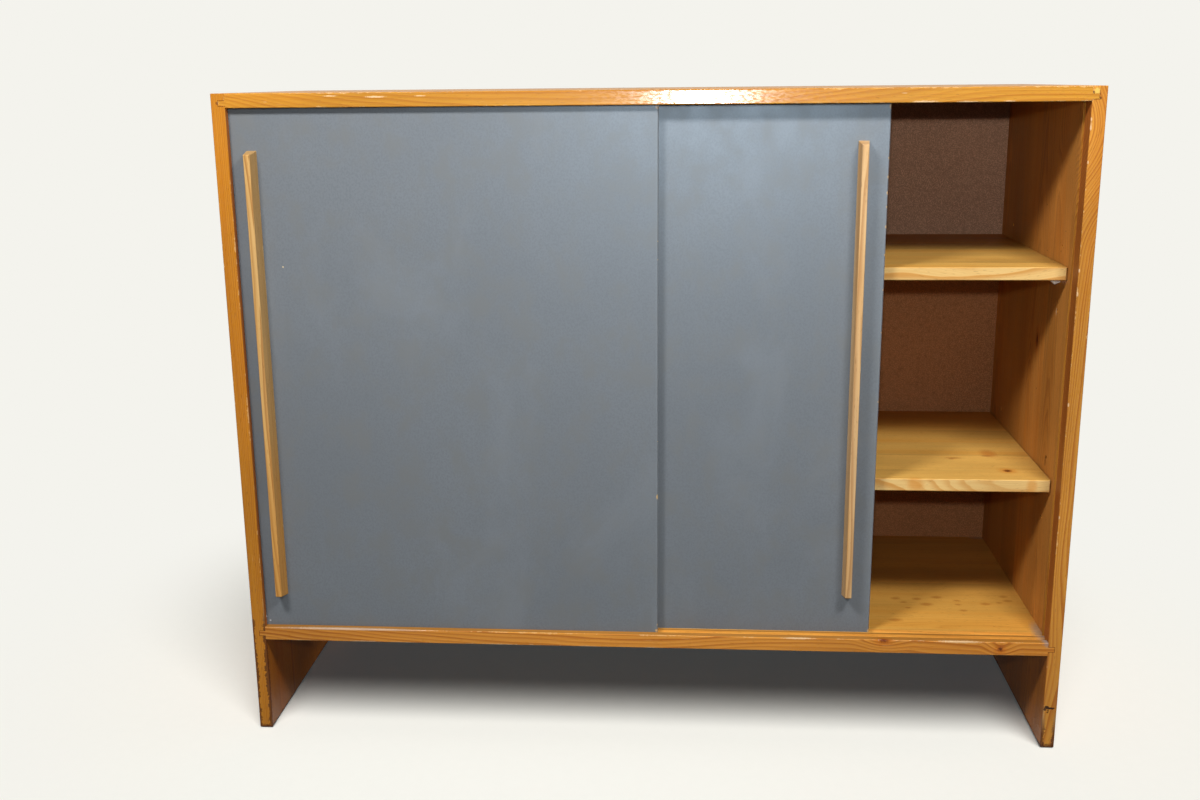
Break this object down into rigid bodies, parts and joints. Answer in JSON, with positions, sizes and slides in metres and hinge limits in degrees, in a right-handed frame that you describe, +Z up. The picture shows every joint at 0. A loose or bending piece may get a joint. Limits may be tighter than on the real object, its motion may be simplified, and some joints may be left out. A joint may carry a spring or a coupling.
{
  "type": "sliding door cabinet",
  "caption": "Pine cabinet on plank legs with two grey sliding doors, long wood strip handles, a centre divider and adjustable shelves.",
  "frame": {"origin": "on the floor under the middle of the whole outline, handles included", "axes": "+Z up, -Y towards the front with the doors, +X to the right as seen from the front"},
  "size_m": [1.2, 0.464, 0.954],
  "materials": {
    "pine": "satin",
    "hardboard": "matte",
    "shelf_pine": "satin",
    "grey_paint": "satin",
    "light_wood": "satin",
    "pin_metal": "satin",
    "steel": "satin"
  },
  "bodies": {
    "carcase": {"side_left": "pine", "side_right": "pine", "top_board": "pine", "bottom_board": "pine", "back_panel": "hardboard", "centre_divider": "pine", "back_staples": "steel", "shelf_left_lower": "shelf_pine", "shelf_left_upper": "shelf_pine", "shelf_right_lower": "shelf_pine", "shelf_right_upper": "shelf_pine", "pins_left_lower": "pin_metal", "pins_left_upper": "pin_metal", "pins_right_lower": "pin_metal", "pins_right_upper": "pin_metal"},
    "left_door": {"door_left": "grey_paint", "handle_left": "light_wood", "screws_handle_left": "steel"},
    "right_door": {"door_right": "grey_paint", "handle_right": "light_wood", "screws_handle_right": "steel"}
  },
  "joints": [
    {"name": "left_door_slide", "type": "slide", "parent": "carcase", "child": "left_door", "axis": [1, 0, 0], "range_m": [0, 0.26]},
    {"name": "right_door_slide", "type": "slide", "parent": "carcase", "child": "right_door", "axis": [1, 0, 0], "range_m": [0, 0.2605]}
  ]
}
